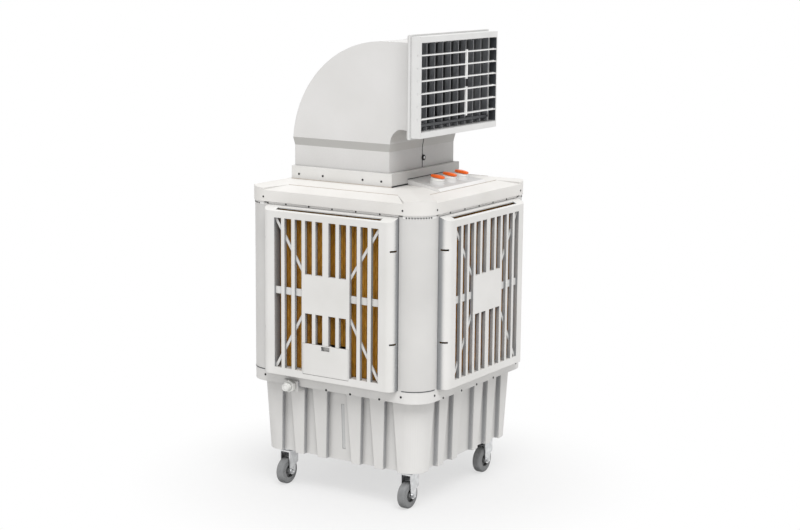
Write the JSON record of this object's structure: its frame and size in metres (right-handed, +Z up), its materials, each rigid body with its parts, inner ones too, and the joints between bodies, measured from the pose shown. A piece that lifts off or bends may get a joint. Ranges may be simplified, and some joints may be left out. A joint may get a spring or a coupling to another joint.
{
  "type": "evaporative cooler",
  "caption": "Portable evaporative air cooler: fluted water tank on castors, pad panels with slotted grilles, and a swept hood with a louvred outlet above a small control console.",
  "frame": {"origin": "on the floor under the middle of the body", "axes": "+Z up, the outlet and the controls face -Y, the fill door and the water inlet face -X"},
  "size_m": [0.649, 0.644, 1.2925],
  "materials": {
    "body_plastic": "fine matt moulded",
    "tank_plastic": "fine matt moulded",
    "trim_plastic": "smooth",
    "pad_paper": "corrugated, resin-stiffened",
    "vane_plastic": "smooth",
    "wheel_rubber": "matt",
    "zinc_steel": "bright zinc plate",
    "motor_metal": "satin",
    "dark_plastic": "smooth"
  },
  "bodies": {
    "base": {"tank": "tank_plastic", "castor_plates": "zinc_steel", "corner_posts": "body_plastic", "top_rails": "body_plastic", "grille_front": "body_plastic", "grille_left": "body_plastic", "grille_right": "body_plastic", "grille_back": "body_plastic", "cooling_pads": "pad_paper", "top_cover": "body_plastic", "control_console": "body_plastic", "rotary_switches": "dark_plastic", "switch_box": "vane_plastic", "water_distributor": "body_plastic", "pump": "dark_plastic", "riser_hose": "vane_plastic", "float_valve": "trim_plastic", "inlet_fitting": "trim_plastic", "inlet_nut": "trim_plastic", "drain_plug": "dark_plastic", "fan_motor": "motor_metal", "motor_bracket": "zinc_steel", "fan_ring": "dark_plastic", "hood_left": "body_plastic", "hood_right": "body_plastic", "hood_collar": "body_plastic", "outlet_frame": "trim_plastic"},
    "fork_fl": {"castor_fork_fl": "zinc_steel"},
    "wheel_fl": {"castor_wheel_fl": "wheel_rubber"},
    "fork_fr": {"castor_fork_fr": "zinc_steel"},
    "wheel_fr": {"castor_wheel_fr": "wheel_rubber"},
    "fork_bl": {"castor_fork_bl": "zinc_steel"},
    "wheel_bl": {"castor_wheel_bl": "wheel_rubber"},
    "fork_br": {"castor_fork_br": "zinc_steel"},
    "wheel_br": {"castor_wheel_br": "wheel_rubber"},
    "knob_1": {"knob_1": "trim_plastic"},
    "knob_2": {"knob_2": "trim_plastic"},
    "knob_3": {"knob_3": "trim_plastic"},
    "door": {"fill_door": "body_plastic"},
    "float": {"float_arm": "trim_plastic"},
    "fan": {"fan_impeller": "vane_plastic"},
    "slat_1": {"slat_1": "trim_plastic"},
    "slat_2": {"slat_2": "trim_plastic"},
    "slat_3": {"slat_3": "trim_plastic"},
    "slat_4": {"slat_4": "trim_plastic"},
    "slat_5": {"slat_5": "trim_plastic"},
    "slat_6": {"slat_6": "trim_plastic"},
    "slat_link_upper": {"slat_link_upper": "trim_plastic"},
    "slat_link_lower": {"slat_link_lower": "trim_plastic"},
    "vane_01": {"vane_01": "vane_plastic"},
    "vane_02": {"vane_02": "vane_plastic"},
    "vane_03": {"vane_03": "vane_plastic"},
    "vane_04": {"vane_04": "vane_plastic"},
    "vane_05": {"vane_05": "vane_plastic"},
    "vane_06": {"vane_06": "vane_plastic"},
    "vane_07": {"vane_07": "vane_plastic"},
    "vane_08": {"vane_08": "vane_plastic"},
    "vane_09": {"vane_09": "vane_plastic"},
    "vane_10": {"vane_10": "vane_plastic"},
    "vane_link": {"vane_link": "vane_plastic"}
  },
  "joints": [
    {"name": "castor_swivel_fl", "type": "hinge", "parent": "base", "child": "fork_fl", "pos_m": [-0.205, -0.205, 0.095], "axis": [0, 0, 1], "continuous": true},
    {"name": "wheel_spin_fl", "type": "hinge", "parent": "fork_fl", "child": "wheel_fl", "pos_m": [-0.221, -0.205, 0.0375], "axis": [0, 1, 0], "continuous": true},
    {"name": "castor_swivel_fr", "type": "hinge", "parent": "base", "child": "fork_fr", "pos_m": [0.205, -0.205, 0.095], "axis": [0, 0, 1], "continuous": true},
    {"name": "wheel_spin_fr", "type": "hinge", "parent": "fork_fr", "child": "wheel_fr", "pos_m": [0.189, -0.205, 0.0375], "axis": [0, 1, 0], "continuous": true},
    {"name": "castor_swivel_bl", "type": "hinge", "parent": "base", "child": "fork_bl", "pos_m": [-0.205, 0.205, 0.095], "axis": [0, 0, 1], "continuous": true},
    {"name": "wheel_spin_bl", "type": "hinge", "parent": "fork_bl", "child": "wheel_bl", "pos_m": [-0.221, 0.205, 0.0375], "axis": [0, 1, 0], "continuous": true},
    {"name": "castor_swivel_br", "type": "hinge", "parent": "base", "child": "fork_br", "pos_m": [0.205, 0.205, 0.095], "axis": [0, 0, 1], "continuous": true},
    {"name": "wheel_spin_br", "type": "hinge", "parent": "fork_br", "child": "wheel_br", "pos_m": [0.189, 0.205, 0.0375], "axis": [0, 1, 0], "continuous": true},
    {"name": "knob_turn_1", "type": "hinge", "parent": "base", "child": "knob_1", "pos_m": [-0.064, -0.193, 0.88224], "axis": [0, -0.1176, 0.9931], "range_deg": [-150, 0]},
    {"name": "knob_turn_2", "type": "hinge", "parent": "base", "child": "knob_2", "pos_m": [0, -0.193, 0.88224], "axis": [0, -0.1176, 0.9931], "range_deg": [-150, 0]},
    {"name": "knob_turn_3", "type": "hinge", "parent": "base", "child": "knob_3", "pos_m": [0.064, -0.193, 0.88224], "axis": [0, -0.1176, 0.9931], "range_deg": [-150, 0]},
    {"name": "fill_door_hinge", "type": "hinge", "parent": "base", "child": "door", "pos_m": [-0.3175, 0, 0.3665], "axis": [0, -1, 0], "range_deg": [0, 90]},
    {"name": "float_arm_hinge", "type": "hinge", "parent": "base", "child": "float", "pos_m": [-0.221, 0.133, 0.314], "axis": [0, 1, 0], "range_deg": [-40, 0]},
    {"name": "fan_spin", "type": "hinge", "parent": "base", "child": "fan", "pos_m": [0, 0.048, 0.8], "axis": [0, 0, 1], "continuous": true},
    {"name": "slat_tilt_1", "type": "hinge", "parent": "base", "child": "slat_1", "pos_m": [0, -0.215, 1.23814], "axis": [1, 0, 0], "range_deg": [-30, 30]},
    {"name": "slat_tilt_2", "type": "hinge", "parent": "base", "child": "slat_2", "pos_m": [0, -0.215, 1.20429], "axis": [1, 0, 0], "range_deg": [-30, 30]},
    {"name": "slat_tilt_3", "type": "hinge", "parent": "base", "child": "slat_3", "pos_m": [0, -0.215, 1.17043], "axis": [1, 0, 0], "range_deg": [-30, 30]},
    {"name": "slat_tilt_4", "type": "hinge", "parent": "base", "child": "slat_4", "pos_m": [0, -0.215, 1.13657], "axis": [1, 0, 0], "range_deg": [-30, 30]},
    {"name": "slat_tilt_5", "type": "hinge", "parent": "base", "child": "slat_5", "pos_m": [0, -0.215, 1.10271], "axis": [1, 0, 0], "range_deg": [-30, 30]},
    {"name": "slat_tilt_6", "type": "hinge", "parent": "base", "child": "slat_6", "pos_m": [0, -0.215, 1.06886], "axis": [1, 0, 0], "range_deg": [-30, 30]},
    {"name": "slat_link_upper_pin", "type": "hinge", "parent": "slat_2", "child": "slat_link_upper", "pos_m": [0.04, -0.22, 1.20429], "axis": [1, 0, 0], "range_deg": [-30, 30]},
    {"name": "slat_link_lower_pin", "type": "hinge", "parent": "slat_5", "child": "slat_link_lower", "pos_m": [0.04, -0.22, 1.10271], "axis": [1, 0, 0], "range_deg": [-30, 30]},
    {"name": "vane_swing_01", "type": "hinge", "parent": "base", "child": "vane_01", "pos_m": [-0.1845, -0.197, 1.1535], "axis": [0, 0, 1], "range_deg": [-30, 30]},
    {"name": "vane_swing_02", "type": "hinge", "parent": "base", "child": "vane_02", "pos_m": [-0.1435, -0.197, 1.1535], "axis": [0, 0, 1], "range_deg": [-30, 30]},
    {"name": "vane_swing_03", "type": "hinge", "parent": "base", "child": "vane_03", "pos_m": [-0.1025, -0.197, 1.1535], "axis": [0, 0, 1], "range_deg": [-30, 30]},
    {"name": "vane_swing_04", "type": "hinge", "parent": "base", "child": "vane_04", "pos_m": [-0.0615, -0.197, 1.1535], "axis": [0, 0, 1], "range_deg": [-30, 30]},
    {"name": "vane_swing_05", "type": "hinge", "parent": "base", "child": "vane_05", "pos_m": [-0.0205, -0.197, 1.1535], "axis": [0, 0, 1], "range_deg": [-30, 30]},
    {"name": "vane_swing_06", "type": "hinge", "parent": "base", "child": "vane_06", "pos_m": [0.0205, -0.197, 1.1535], "axis": [0, 0, 1], "range_deg": [-30, 30]},
    {"name": "vane_swing_07", "type": "hinge", "parent": "base", "child": "vane_07", "pos_m": [0.0615, -0.197, 1.1535], "axis": [0, 0, 1], "range_deg": [-30, 30]},
    {"name": "vane_swing_08", "type": "hinge", "parent": "base", "child": "vane_08", "pos_m": [0.1025, -0.197, 1.1535], "axis": [0, 0, 1], "range_deg": [-30, 30]},
    {"name": "vane_swing_09", "type": "hinge", "parent": "base", "child": "vane_09", "pos_m": [0.1435, -0.197, 1.1535], "axis": [0, 0, 1], "range_deg": [-30, 30]},
    {"name": "vane_swing_10", "type": "hinge", "parent": "base", "child": "vane_10", "pos_m": [0.1845, -0.197, 1.1535], "axis": [0, 0, 1], "range_deg": [-30, 30]},
    {"name": "vane_link_pin", "type": "hinge", "parent": "vane_05", "child": "vane_link", "pos_m": [-0.0205, -0.2025, 1.05], "axis": [0, 0, 1], "range_deg": [-30, 30]}
  ],
  "couplings": [
    {"joint": "slat_tilt_1", "follows": "slat_tilt_2", "ratio": 1},
    {"joint": "slat_tilt_3", "follows": "slat_tilt_2", "ratio": 1},
    {"joint": "slat_tilt_4", "follows": "slat_tilt_5", "ratio": 1},
    {"joint": "slat_tilt_6", "follows": "slat_tilt_5", "ratio": 1},
    {"joint": "slat_link_upper_pin", "follows": "slat_tilt_2", "ratio": -1},
    {"joint": "slat_link_lower_pin", "follows": "slat_tilt_5", "ratio": -1},
    {"joint": "vane_swing_01", "follows": "vane_swing_05", "ratio": 1},
    {"joint": "vane_swing_02", "follows": "vane_swing_05", "ratio": 1},
    {"joint": "vane_swing_03", "follows": "vane_swing_05", "ratio": 1},
    {"joint": "vane_swing_04", "follows": "vane_swing_05", "ratio": 1},
    {"joint": "vane_swing_06", "follows": "vane_swing_05", "ratio": 1},
    {"joint": "vane_swing_07", "follows": "vane_swing_05", "ratio": 1},
    {"joint": "vane_swing_08", "follows": "vane_swing_05", "ratio": 1},
    {"joint": "vane_swing_09", "follows": "vane_swing_05", "ratio": 1},
    {"joint": "vane_swing_10", "follows": "vane_swing_05", "ratio": 1},
    {"joint": "vane_link_pin", "follows": "vane_swing_05", "ratio": -1}
  ]
}
